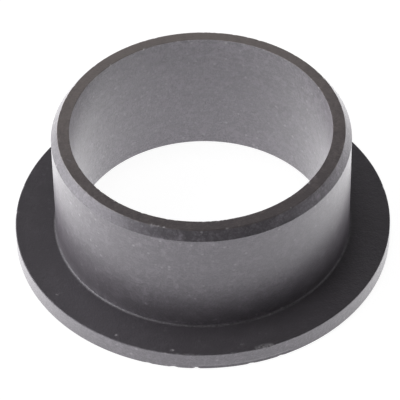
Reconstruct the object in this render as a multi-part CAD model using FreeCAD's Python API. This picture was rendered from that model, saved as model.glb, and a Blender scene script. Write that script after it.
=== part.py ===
import FreeCAD, Part
import math
import os

# Flanged sleeve bearing, one moulding in dark bearing plastic. Sizes are in millimetres.
# The origin is on the bore's axis, at the outer face of the flange, and +Z runs along the
# bore to the free end of the sleeve, which goes into its housing first.

# Sleeve
bore_diameter = 22.0
sleeve_wall = 1.5
overall_length = 12.0

# Flange: how far it stands out past the sleeve, and its thickness
flange_width = 3.5
flange_thickness = 1.65

# Lead-in chamfer round the outside of the free end, along the axis and across the wall
chamfer_length = 0.8
chamfer_depth = 0.55

# Radii left by the mould
shoulder_fillet = 0.25
rim_radius = 0.15
chamfer_edge_radius = 0.1
bore_edge_radius = 0.08

# Sizes that follow
bore_radius = bore_diameter / 2
sleeve_radius = bore_radius + sleeve_wall
flange_radius = sleeve_radius + flange_width
nose_radius = sleeve_radius - chamfer_depth
chamfer_start = overall_length - chamfer_length

AXIS_POINT = FreeCAD.Vector(0, 0, 0)
AXIS = FreeCAD.Vector(0, 0, 1)
FULL_TURN = 360


def section_corners():
    """Corners of the half section as (distance from the axis, height, radius of the corner)."""
    return [
        (bore_radius, 0, bore_edge_radius),
        (flange_radius, 0, rim_radius),
        (flange_radius, flange_thickness, rim_radius),
        (sleeve_radius, flange_thickness, shoulder_fillet),
        (sleeve_radius, chamfer_start, chamfer_edge_radius),
        (nose_radius, overall_length, chamfer_edge_radius),
        (bore_radius, overall_length, bore_edge_radius),
    ]


def corner_arc(before, corner, after, radius):
    """Arc of the radius that touches both sides of the corner, as its start, middle and end."""
    back = (before - corner).normalize()
    ahead = (after - corner).normalize()
    half_angle = back.getAngle(ahead) / 2
    setback = radius / math.tan(half_angle)
    inward = (back + ahead).normalize()
    middle = corner + inward * (radius / math.sin(half_angle) - radius)
    return corner + back * setback, middle, corner + ahead * setback


def rounded_outline(corners):
    """Closed wire of straight sides and tangent arcs, in the plane that holds the axis."""
    points = [FreeCAD.Vector(x, 0, z) for x, z, radius in corners]
    arcs = []
    for index, (x, z, radius) in enumerate(corners):
        after = points[(index + 1) % len(points)]
        arcs.append(corner_arc(points[index - 1], points[index], after, radius))
    edges = []
    for index, (start, middle, end) in enumerate(arcs):
        edges.append(Part.LineSegment(arcs[index - 1][2], start).toShape())
        edges.append(Part.Arc(start, middle, end).toShape())
    return Part.Wire(edges)


def sleeve_bearing():
    """Sleeve and flange, turned round the bore's axis as the one solid that they are."""
    section = Part.Face(rounded_outline(section_corners()))
    return section.revolve(AXIS_POINT, AXIS, FULL_TURN)


os.makedirs("parts", exist_ok=True)
sleeve_bearing().exportStep("parts/sleeve_bearing.step")
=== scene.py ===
import math
import random

import bmesh
import bpy
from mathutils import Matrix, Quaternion, Vector
from mathutils.kdtree import KDTree


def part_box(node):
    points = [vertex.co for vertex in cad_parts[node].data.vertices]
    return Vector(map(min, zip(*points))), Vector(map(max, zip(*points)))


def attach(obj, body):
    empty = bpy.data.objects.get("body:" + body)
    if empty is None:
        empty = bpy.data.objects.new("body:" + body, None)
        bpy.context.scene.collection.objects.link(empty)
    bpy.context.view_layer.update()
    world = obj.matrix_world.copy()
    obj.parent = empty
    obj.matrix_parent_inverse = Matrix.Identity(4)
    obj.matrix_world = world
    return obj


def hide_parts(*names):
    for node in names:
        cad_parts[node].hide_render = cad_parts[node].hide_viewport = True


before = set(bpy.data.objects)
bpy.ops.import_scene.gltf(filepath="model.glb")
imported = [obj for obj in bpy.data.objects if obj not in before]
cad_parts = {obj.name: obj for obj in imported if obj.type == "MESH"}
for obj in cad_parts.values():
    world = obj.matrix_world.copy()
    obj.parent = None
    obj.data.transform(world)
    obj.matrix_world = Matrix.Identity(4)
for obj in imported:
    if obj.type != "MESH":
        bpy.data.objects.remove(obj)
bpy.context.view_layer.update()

# The bearing is one moulding of dark, fibre-filled polymer: a thin sleeve on a flat flange, with a
# lead-in chamfer round the free end and a plain bore. It is turned here from its half section, and
# the wear of its edges is pressed into the turned mesh.
millimetre = 0.001
cad_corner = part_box("sleeve_bearing")[1]
flange_radius = min(cad_corner[0], cad_corner[1])
overall_length = cad_corner[2]
bore_radius = 11.0 * millimetre
sleeve_radius = 12.5 * millimetre
sleeve_foot_radius = 12.54 * millimetre
flange_thickness = 1.65 * millimetre
flange_dish = 0.29 * millimetre
shoulder_height = flange_thickness - flange_dish
chamfer_length = 0.8 * millimetre
chamfer_depth = 0.55 * millimetre
end_face_radius = sleeve_radius - chamfer_depth
bore_edge_radius = 0.03 * millimetre
foot_edge_radius = 0.04 * millimetre
rim_edge_radius = 0.1 * millimetre
shoulder_fillet = 0.2 * millimetre
chamfer_edge_radius = 0.05 * millimetre

# The mesh is fine where the surface carries marks and coarse on the plain walls.
marked_band = 1.0 * millimetre
longest_marked_run = 1.6 * millimetre
shortest_split_run = 0.4 * millimetre
fine_row = 0.1 * millimetre
wide_row = 0.8 * millimetre
edge_row = 0.02 * millimetre
arc_steps = 4
turning_steps = 640

band_drop = flange_dish * marked_band / (flange_radius - sleeve_foot_radius)
moulding = bmesh.new()
corners = [
    (bore_radius, 0, bore_edge_radius),
    (flange_radius, 0, foot_edge_radius),
    (flange_radius, flange_thickness, rim_edge_radius),
    (flange_radius - marked_band, flange_thickness - band_drop, 0),
    (sleeve_foot_radius, shoulder_height, shoulder_fillet),
    (sleeve_radius, overall_length - chamfer_length, chamfer_edge_radius),
    (end_face_radius, overall_length, chamfer_edge_radius),
    (bore_radius, overall_length, bore_edge_radius),
    (bore_radius, overall_length - marked_band, 0),
]
points = [moulding.verts.new((radius, 0, height)) for radius, height, rounding in corners]
moulding.faces.new(points)
for point, (radius, height, rounding) in zip(points, corners):
    if rounding:
        ahead, behind = [(edge.other_vert(point).co - point.co).normalized() for edge in point.link_edges]
        setback = rounding / math.tan(ahead.angle(behind) / 2)
        bmesh.ops.bevel(moulding, geom=[point], offset=setback, offset_type="OFFSET", segments=arc_steps,
                        profile=0.5, affect="VERTICES", material=-1)
bmesh.ops.delete(moulding, geom=moulding.faces[:], context="FACES_ONLY")
for run in [edge for edge in moulding.edges if edge.calc_length() > shortest_split_run]:
    # A short row at both ends keeps the rounded corners' shading off the flat faces.
    for corner in run.verts[:]:
        bmesh.utils.edge_split(run, corner, edge_row / run.calc_length())
    row = fine_row if run.calc_length() < longest_marked_run else wide_row
    bmesh.ops.subdivide_edges(moulding, edges=[run], cuts=int(run.calc_length() / row))
bmesh.ops.spin(moulding, geom=moulding.verts[:] + moulding.edges[:], cent=(0, 0, 0), axis=(0, 0, 1),
               dvec=(0, 0, 0), angle=2 * math.pi, steps=turning_steps, use_merge=True)
bmesh.ops.recalc_face_normals(moulding, faces=moulding.faces[:])

# The walls carry a pale bloom, most of it in the bore and on the chamfer, and the flat faces little.
# The material reads its strength from this layer. It fades out towards the sleeve's foot as painted shade.
bloom_in_bore = 1.95
bloom_on_sleeve = 0.85
bloom_on_rim = 0.6
bloom_on_chamfer = 1.6
bloom_on_flats = 0.12
painted_foot_shade_height = 4.5 * millimetre
bloom_strength_and_foot_shade = moulding.verts.layers.float.new("bloom_strength_and_foot_shade")
moulding.normal_update()
for vert in moulding.verts:
    if vert.co.xy.length < bore_radius + bore_edge_radius:
        share = bloom_in_bore
    elif vert.co.z > overall_length - chamfer_length:
        share = bloom_on_chamfer
    elif vert.co.z > flange_thickness:
        share = bloom_on_sleeve * min(1, (vert.co.z - flange_thickness) / painted_foot_shade_height)
    else:
        share = bloom_on_rim
    vert[bloom_strength_and_foot_shade] = bloom_on_flats + share * (1 - abs(vert.normal.z))

# The bore has set out of true at the free end: a little narrower, oval, and off centre to the back.
bore_closing = 0.027 * millimetre
bore_oval = 0.05 * millimetre
bore_lean = 0.05 * millimetre
longest_at = math.radians(-22)
leans_to = math.radians(195)
for vert in moulding.verts:
    radius = vert.co.xy.length
    if radius < end_face_radius:
        azimuth = math.atan2(vert.co.x, -vert.co.y)
        widening = bore_oval * math.cos(2 * (azimuth - longest_at)) - bore_closing
        widening += bore_lean * math.cos(azimuth - leans_to)
        nearness = min(1, (end_face_radius - radius) / (end_face_radius - bore_radius))
        vert.co.xy += vert.co.xy / radius * widening * nearness * vert.co.z / overall_length

# Knocks and burrs: the surface near a spot is pressed in and down, fading out at the mark's reach,
# and the worn_and_highlight_layer tells the material how pale the mark is, from wear and from painted
# highlights. Azimuths are in degrees: 0 is the front and 90 the right.
worn_and_highlight_layer = moulding.verts.layers.float.new("worn_and_highlight_layer")
moulding.verts.ensure_lookup_table()
surface = KDTree(len(moulding.verts))
for vert in moulding.verts:
    surface.insert(vert.co, vert.index)
surface.balance()


def press(azimuth, radius, height, reach, inward, down, wear_and_highlight):
    outward = Vector((math.sin(math.radians(azimuth)), -math.cos(math.radians(azimuth)), 0))
    spot = outward * radius + Vector((0, 0, height))
    for place, index, distance in surface.find_range(spot, reach):
        vert = moulding.verts[index]
        fade = (1 - (distance / reach) ** 2) ** 2
        vert.co -= outward * inward * fade
        vert.co.z -= down * fade
        vert[worn_and_highlight_layer] = max(vert[worn_and_highlight_layer], wear_and_highlight * fade)


def press_at_random(azimuth, radius, height, reach, inward, down, wear_and_highlight, strength=1.0):
    # Reach, inward and down are drawn between two sizes in millimetres, and wear_and_highlight between two
    # shares.
    press(azimuth, radius, height, random.uniform(*reach) * millimetre,
          random.uniform(*inward) * millimetre, random.uniform(*down) * millimetre,
          random.uniform(*wear_and_highlight) * strength)


def press_line(start, end, height, reach, inward, down, wear_and_highlight):
    # A row of small presses, each overlapping the next, from one (azimuth, radius) to another.
    (azimuth, radius), (end_azimuth, end_radius) = start, end
    spacing = 0.6 * reach
    length = math.hypot(math.radians(end_azimuth - azimuth) * radius, end_radius - radius)
    steps = max(2, int(length / spacing))
    for step in range(steps + 1):
        share = step / steps
        press(azimuth + (end_azimuth - azimuth) * share, radius + (end_radius - radius) * share, height,
              reach, inward, down, wear_and_highlight)


# The rim's upper edge has small bites in front, a fuzzy scuff to their right, and a few knocks all
# round the rest of it. The scuff is worn most at the very edge.
random.seed(22)
rim_bites = (-8.1, -6.0, -5.3, -3.7, -2.1, 8.0)
scuff_knocks = 100
scuff_width = 0.36
scuff_span = (14.4, 20.4, 17.6)
rim_knocks = 16
for azimuth in rim_bites:
    press(azimuth, flange_radius, flange_thickness, reach=0.2 * millimetre, inward=0.02 * millimetre,
          down=0.04 * millimetre, wear_and_highlight=0.5)
for knock in range(scuff_knocks):
    inset = random.triangular(0, scuff_width, 0)
    press_at_random(random.triangular(*scuff_span), flange_radius - inset * millimetre, flange_thickness,
                    reach=(0.12, 0.24), inward=(0, 0.006), down=(0.003, 0.012), wear_and_highlight=(0.3, 0.75),
                    strength=1.2 - 2 * inset)
for knock in range(rim_knocks):
    press_at_random(random.uniform(35, 330), flange_radius, flange_thickness,
                    reach=(0.15, 0.3), inward=(0, 0.03), down=(0.01, 0.04), wear_and_highlight=(0.2, 0.5))

# Single pale dents lie on the flange near its rim, each given by its azimuth and radius.
flange_dents = ((-53.9, 15.1), (-28.1, 15.4), (-9.8, 15.6), (11.5, 15.1))
for azimuth, radius in flange_dents:
    press(azimuth, radius * millimetre, flange_thickness, reach=0.18 * millimetre, inward=0,
          down=0.005 * millimetre, wear_and_highlight=1.4)

# The foot has shallow nicks, given by azimuth, reach and depth, and a shallow groove in front.
foot_nicks = ((-17.0, 0.35, 0.03), (-9.3, 0.4, 0.06), (-2.6, 0.3, 0.1), (13.6, 0.4, 0.05),
              (22.8, 0.35, 0.04), (97.0, 0.5, 0.05), (171.0, 0.45, 0.06), (-128.0, 0.4, 0.04))
for azimuth, reach, depth in foot_nicks:
    press(azimuth, flange_radius, 0, reach=reach * millimetre, inward=depth * millimetre,
          down=-depth * millimetre / 2, wear_and_highlight=0.2)
press_line((-2.0, flange_radius), (26.0, flange_radius), height=0.22 * millimetre,
           reach=0.18 * millimetre, inward=0.035 * millimetre, down=0, wear_and_highlight=0)

# A thin pale line is painted all round the sleeve's foot, in the fillet, as a painted highlight.
painted_highlight_radius = sleeve_foot_radius + 0.05 * millimetre
press_line((-180.0, painted_highlight_radius), (180.0, painted_highlight_radius), height=shoulder_height + 0.05 * millimetre,
           reach=0.17 * millimetre, inward=0, down=0, wear_and_highlight=0.26)

# The bore's edge has bright specks of flash and many small nicks.
flash_specks = (-136.3, -154.2, -170.1, -175.1, 166.1, 160.0, 153.8, 139.5, 136.6, 121.3, 115.2,
                -40.0, 52.0)
bore_nicks = 110
for azimuth in flash_specks:
    press(azimuth, bore_radius, overall_length, reach=random.uniform(0.1, 0.18) * millimetre,
          inward=0.04 * millimetre, down=0.01 * millimetre, wear_and_highlight=random.uniform(1.0, 1.8))
for nick in range(bore_nicks):
    press_at_random(random.uniform(0, 360), bore_radius, overall_length,
                    reach=(0.1, 0.2), inward=(-0.03, 0.03), down=(0, 0.02), wear_and_highlight=(0, 0.5))

# The chamfer's edge has nicks and a few pale dashes that are painted highlights, and there is a scratch on
# the end face and one at the chamfer's foot.
chamfer_nicks = 50
chamfer_painted_highlights = (-20.2, -19.0, -17.6, -15.2, 9.1, 36.5)
for nick in range(chamfer_nicks):
    press_at_random(random.uniform(0, 360), end_face_radius, overall_length,
                    reach=(0.12, 0.25), inward=(0, 0.03), down=(0, 0.02), wear_and_highlight=(0, 0.3))
for azimuth in chamfer_painted_highlights:
    press(azimuth, end_face_radius, overall_length, reach=0.16 * millimetre, inward=0.02 * millimetre,
          down=0.02 * millimetre, wear_and_highlight=0.9)
press_line((-72.3, 11.6 * millimetre), (-70.3, 11.25 * millimetre), height=overall_length,
           reach=0.12 * millimetre, inward=0, down=0.01 * millimetre, wear_and_highlight=0.35)
press_line((-50.8, 12.42 * millimetre), (-47.9, 12.42 * millimetre), height=11.3 * millimetre,
           reach=0.12 * millimetre, inward=0.015 * millimetre, down=0, wear_and_highlight=0.2)

bearing_mesh = bpy.data.meshes.new("bearing_moulding")
moulding.to_mesh(bearing_mesh)
moulding.free()
bearing_mesh.shade_smooth()
bearing = bpy.data.objects.new("bearing_moulding", bearing_mesh)
bpy.context.scene.collection.objects.link(bearing)

# The plastic is nearly black under a satin skin. The bloom and its specks are grey, the end face is browner
# and painted paler towards its back as painted light, scuffs and the painted highlights are grey, and flash
# and the brightest painted highlights are almost white.
plastic_black = (0.0132, 0.0136, 0.0112)
bloom_grey = (0.208, 0.192, 0.214)
speck_grey = (0.36, 0.345, 0.365)
scuff_and_highlight_grey = (0.35, 0.34, 0.35)
flash_and_highlight_white = (0.78, 0.76, 0.76)
end_face_in_painted_shade = (0.036, 0.029, 0.0215)
end_face_in_painted_light = (0.146, 0.126, 0.108)
painted_light_direction = (-0.34, 0.94, 0)
painted_light_full_at = 10.2 * millimetre
painted_shade_full_at = -11.2 * millimetre
end_face_from = overall_length - 0.09 * millimetre
end_face_full = overall_length - 0.05 * millimetre
grain_size = 0.14 * millimetre
fleck_size = 0.55 * millimetre
cloud_size = 1.8 * millimetre
ring_length = 2.5 * millimetre
ring_width = 0.14 * millimetre
speck_spacing = 0.8 * millimetre
relief_depth = 0.028 * millimetre
place_in_pattern = 3.0

plastic = bpy.data.materials.new("bearing_plastic")
plastic.use_nodes = True
nodes = plastic.node_tree.nodes
links = plastic.node_tree.links
shader = nodes["Principled BSDF"]
shader.inputs["IOR"].default_value = 1.7
shader.inputs["Specular Tint"].default_value = (0.905, 0.85, 1.0, 1)
shader.inputs["Coat Weight"].default_value = 1.0
shader.inputs["Coat Roughness"].default_value = 0.33
shader.inputs["Coat IOR"].default_value = 1.5
shader.inputs["Sheen Weight"].default_value = 0.2
shader.inputs["Sheen Roughness"].default_value = 0.8
shader.inputs["Sheen Tint"].default_value = (0.95, 0.85, 1.0, 1)
place = nodes.new("ShaderNodeTexCoord")


def noise(size, detail, roughness=0.5):
    texture = nodes.new("ShaderNodeTexNoise")
    texture.noise_dimensions = "4D"
    texture.inputs["W"].default_value = place_in_pattern
    texture.inputs["Scale"].default_value = 1 / size
    texture.inputs["Detail"].default_value = detail
    texture.inputs["Roughness"].default_value = roughness
    links.new(place.outputs["Object"], texture.inputs["Vector"])
    return texture.outputs["Fac"]


def stretch(pattern, across, along):
    # Draws out a noise of size 1, so that it measures across in X and Y, and along in Z.
    shape = nodes.new("ShaderNodeMapping")
    shape.inputs["Scale"].default_value = (1 / across, 1 / across, 1 / along)
    links.new(place.outputs["Object"], shape.inputs["Vector"])
    links.new(shape.outputs["Vector"], pattern.node.inputs["Vector"])
    return pattern


def spread(value, low, high, from_low=0.3, from_high=0.7):
    limits = nodes.new("ShaderNodeMapRange")
    limits.inputs["From Min"].default_value = from_low
    limits.inputs["From Max"].default_value = from_high
    limits.inputs["To Min"].default_value = low
    limits.inputs["To Max"].default_value = high
    links.new(value, limits.inputs["Value"])
    return limits.outputs["Result"]


def blend(share, plain, other):
    mix = nodes.new("ShaderNodeMix")
    mix.data_type = "RGBA"
    for socket, colour in ((mix.inputs["A"], plain), (mix.inputs["B"], other)):
        if isinstance(colour, tuple):
            socket.default_value = (*colour, 1)
        else:
            links.new(colour, socket)
    links.new(share, mix.inputs["Factor"])
    return mix.outputs["Result"]


def combine(operation, first, second):
    sum_node = nodes.new("ShaderNodeMath")
    sum_node.operation = operation
    for socket, value in zip(sum_node.inputs, (first, second)):
        if isinstance(value, (int, float)):
            socket.default_value = value
        else:
            links.new(value, socket)
    return sum_node.outputs["Value"]


def attribute(name):
    reader = nodes.new("ShaderNodeAttribute")
    reader.attribute_name = name
    return reader.outputs["Fac"]


grain = noise(grain_size, detail=2)
flecks = noise(fleck_size, detail=3, roughness=0.6)
cloud = noise(cloud_size, detail=3)
rings = stretch(noise(size=1, detail=2), across=ring_length, along=ring_width)
speck = nodes.new("ShaderNodeTexVoronoi")
speck.inputs["Scale"].default_value = 1 / speck_spacing
links.new(place.outputs["Object"], speck.inputs["Vector"])
speck_dots = spread(speck.outputs["Distance"], low=0.8, high=0, from_low=0.06, from_high=0.2)
specks = combine("MULTIPLY", speck_dots, spread(cloud, low=0, high=1, from_low=0.4, from_high=0.55))
height_split = nodes.new("ShaderNodeSeparateXYZ")
links.new(place.outputs["Object"], height_split.inputs["Vector"])
end_face = spread(height_split.outputs["Z"], low=0, high=1, from_low=end_face_from, from_high=end_face_full)
# Painted light: the end face is painted paler from its front to its back, and a little to the left, where
# it shows brighter.
towards_painted_light = nodes.new("ShaderNodeVectorMath")
towards_painted_light.operation = "DOT_PRODUCT"
towards_painted_light.inputs[1].default_value = painted_light_direction
links.new(place.outputs["Object"], towards_painted_light.inputs[0])
painted_light_share = spread(towards_painted_light.outputs["Value"], low=0, high=1,
                   from_low=painted_shade_full_at, from_high=painted_light_full_at)
# Painted highlight: this mask also carries the pale line round the sleeve's foot and the chamfer's pale
# dashes.
scuffs_and_highlights = combine("MULTIPLY", attribute("worn_and_highlight_layer"),
                  spread(grain, low=0.1, high=1.0, from_low=0.35, from_high=0.6))

# The bloom's fade at the sleeve's foot is painted shade where the sleeve meets the flange.
bloom_with_foot_shade = combine("MULTIPLY", spread(flecks, low=0, high=1, from_low=0.42, from_high=0.8),
                spread(cloud, low=0.35, high=1.0, from_low=0.4, from_high=0.6))
fine_bloom = combine("ADD", spread(grain, low=-0.28, high=0.38), spread(rings, low=-0.12, high=0.12))
bloom_with_foot_shade = combine("MULTIPLY", combine("ADD", bloom_with_foot_shade, fine_bloom), attribute("bloom_strength_and_foot_shade"))
colour = blend(bloom_with_foot_shade, plastic_black, bloom_grey)
mottle = combine("ADD", spread(flecks, low=-0.25, high=0.25), spread(grain, low=-0.3, high=0.3))
end_colour_with_painted_light = blend(combine("ADD", painted_light_share, mottle), end_face_in_painted_shade, end_face_in_painted_light)
colour = blend(end_face, colour, end_colour_with_painted_light)
colour = blend(combine("MULTIPLY", specks, attribute("bloom_strength_and_foot_shade")), colour, speck_grey)
colour = blend(scuffs_and_highlights, colour, scuff_and_highlight_grey)
colour = blend(spread(attribute("worn_and_highlight_layer"), low=0, high=1, from_low=0.7, from_high=1.2), colour, flash_and_highlight_white)
links.new(colour, shader.inputs["Base Color"])
finish = combine("ADD", spread(cloud, low=0.42, high=0.48), spread(flecks, low=-0.04, high=0.04))
finish = combine("ADD", finish, combine("MULTIPLY", scuffs_and_highlights, 0.2))
links.new(finish, shader.inputs["Roughness"])
relief = combine("ADD", combine("MULTIPLY", grain, 0.8), flecks)
bump = nodes.new("ShaderNodeBump")
bump.inputs["Strength"].default_value = 1.0
bump.inputs["Distance"].default_value = relief_depth
links.new(relief, bump.inputs["Height"])
links.new(bump.outputs["Normal"], shader.inputs["Normal"])
links.new(bump.outputs["Normal"], shader.inputs["Coat Normal"])
bearing_mesh.materials.append(plastic)
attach(bearing, "root")
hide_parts("sleeve_bearing")

# The floor is a plain white table top, painted matt. The camera sees an even white that keeps a faint
# shadow. The plastic's gloss sees painted shade on it: darker towards the front, as if the bearing threw
# its shade forward, and a darker painted ring where the flange stands. Other light meets plain white paint.
floor_radius = 2.0
floor_sides = 96
white_paint = 0.8
paint_to_camera = 0.25
glow_to_camera = 0.9
paint_in_gloss = 0.7
glow_in_front = 1.05
glow_behind = 1.48
shade_front = -24 * millimetre
shade_back = 0 * millimetre
contact_shade = 0.8
contact_reach = 3.5 * millimetre
floor_shape = bmesh.new()
bmesh.ops.create_circle(floor_shape, cap_ends=True, radius=floor_radius, segments=floor_sides)
floor_mesh = bpy.data.meshes.new("floor")
floor_shape.to_mesh(floor_mesh)
floor_shape.free()
floor = bpy.data.objects.new("floor", floor_mesh)
bpy.context.scene.collection.objects.link(floor)
floor_white = bpy.data.materials.new("floor_white")
floor_white.use_nodes = True
nodes = floor_white.node_tree.nodes
links = floor_white.node_tree.links
nodes.clear()
surface_out = nodes.new("ShaderNodeOutputMaterial")
ray = nodes.new("ShaderNodeLightPath")


def matt_white(paint_share, glow_strength):
    paint = nodes.new("ShaderNodeBsdfDiffuse")
    paint.inputs["Color"].default_value = (paint_share, paint_share, paint_share, 1)
    glow = nodes.new("ShaderNodeEmission")
    if isinstance(glow_strength, (int, float)):
        glow.inputs["Strength"].default_value = glow_strength
    else:
        links.new(glow_strength, glow.inputs["Strength"])
    both = nodes.new("ShaderNodeAddShader")
    links.new(paint.outputs["BSDF"], both.inputs[0])
    links.new(glow.outputs["Emission"], both.inputs[1])
    return both.outputs["Shader"]


def choose(share, plain, other):
    pick = nodes.new("ShaderNodeMixShader")
    links.new(share, pick.inputs["Fac"])
    links.new(plain, pick.inputs[1])
    links.new(other, pick.inputs[2])
    return pick.outputs["Shader"]


place = nodes.new("ShaderNodeTexCoord")
across_floor = nodes.new("ShaderNodeSeparateXYZ")
links.new(place.outputs["Object"], across_floor.inputs["Vector"])
from_middle = nodes.new("ShaderNodeVectorMath")
from_middle.operation = "LENGTH"
links.new(place.outputs["Object"], from_middle.inputs[0])
# Painted shade: the glow that the gloss sees is made darker towards the front and in a ring round the
# flange.
off_rim = combine("ABSOLUTE", combine("SUBTRACT", from_middle.outputs["Value"], flange_radius), 0)
contact = spread(off_rim, low=contact_shade, high=1, from_low=0, from_high=contact_reach)
shaded_glow = spread(across_floor.outputs["Y"], low=glow_in_front, high=glow_behind,
                     from_low=shade_front, from_high=shade_back)
shaded_glow = combine("MULTIPLY", shaded_glow, contact)
reflected = combine("MAXIMUM", ray.outputs["Is Glossy Ray"], ray.outputs["Is Transmission Ray"])
look = choose(reflected, matt_white(white_paint, 0), matt_white(paint_in_gloss, shaded_glow))
look = choose(ray.outputs["Is Camera Ray"], look, matt_white(paint_to_camera, glow_to_camera))
links.new(look, surface_out.inputs["Surface"])
floor_mesh.materials.append(floor_white)

# The light is that of a small photo tent: white panels along the left side, the low one brightest,
# a lamp overhead that gives no highlight, weak panels on the right, in front and behind, and a dim
# even light from all round.
even_light = 0.02
panel_distance = 0.8
world = bpy.data.worlds.new("studio")
bpy.context.scene.world = world
world.use_nodes = True
world.node_tree.nodes["Background"].inputs["Color"].default_value = (1, 1, 1, 1)
world.node_tree.nodes["Background"].inputs["Strength"].default_value = even_light


def softbox(name, azimuth, elevation, width, height, radiance, glossy=True):
    light = bpy.data.lights.new(name, "AREA")
    light.shape = "RECTANGLE"
    light.size = width
    light.size_y = height
    light.energy = radiance * math.pi * width * height
    lamp = bpy.data.objects.new(name, light)
    around = math.radians(azimuth)
    above = math.radians(elevation)
    level = math.cos(above)
    direction = Vector((math.sin(around) * level, -math.cos(around) * level, math.sin(above)))
    lamp.location = direction * panel_distance
    lamp.rotation_euler = direction.to_track_quat("Z", "Y").to_euler()
    lamp.visible_glossy = glossy
    bpy.context.scene.collection.objects.link(lamp)


softbox("left_panel", azimuth=-90, elevation=30, width=0.92, height=0.92, radiance=0.9)
softbox("left_low_panel", azimuth=-82, elevation=8, width=0.92, height=0.24, radiance=4.0)
softbox("left_front_panel", azimuth=-45, elevation=30, width=0.43, height=0.92, radiance=0.4)
softbox("left_back_panel", azimuth=-135, elevation=30, width=0.43, height=0.92, radiance=0.5)
softbox("right_panel", azimuth=90, elevation=8, width=0.92, height=0.24, radiance=0.6)
softbox("front_low_panel", azimuth=0, elevation=6, width=1.2, height=0.17, radiance=0.12)
softbox("back_panel", azimuth=180, elevation=25, width=0.92, height=0.5, radiance=0.25)
softbox("overhead_lamp", azimuth=0, elevation=90, width=0.35, height=0.35, radiance=5.5, glossy=False)

# The camera looks down at the bearing at 45 degrees from the front, a little turned on its axis,
# with a long lens, as in the photograph.
film_width = 36
lens_length = 248.19
camera_place = (0, -0.16659, 0.16837)
aim = Vector((-0.0002045, 0, 0.003565))
roll = Quaternion((0, 0, 1), math.radians(-1.02))
camera = bpy.data.objects.new("camera", bpy.data.cameras.new("camera"))
camera.data.sensor_width = film_width
camera.data.lens = lens_length
camera.location = camera_place
camera.rotation_euler = ((aim - camera.location).to_track_quat("-Z", "Y") @ roll).to_euler()
bpy.context.scene.collection.objects.link(camera)
bpy.context.scene.camera = camera
bpy.context.scene.view_settings.view_transform = "Standard"
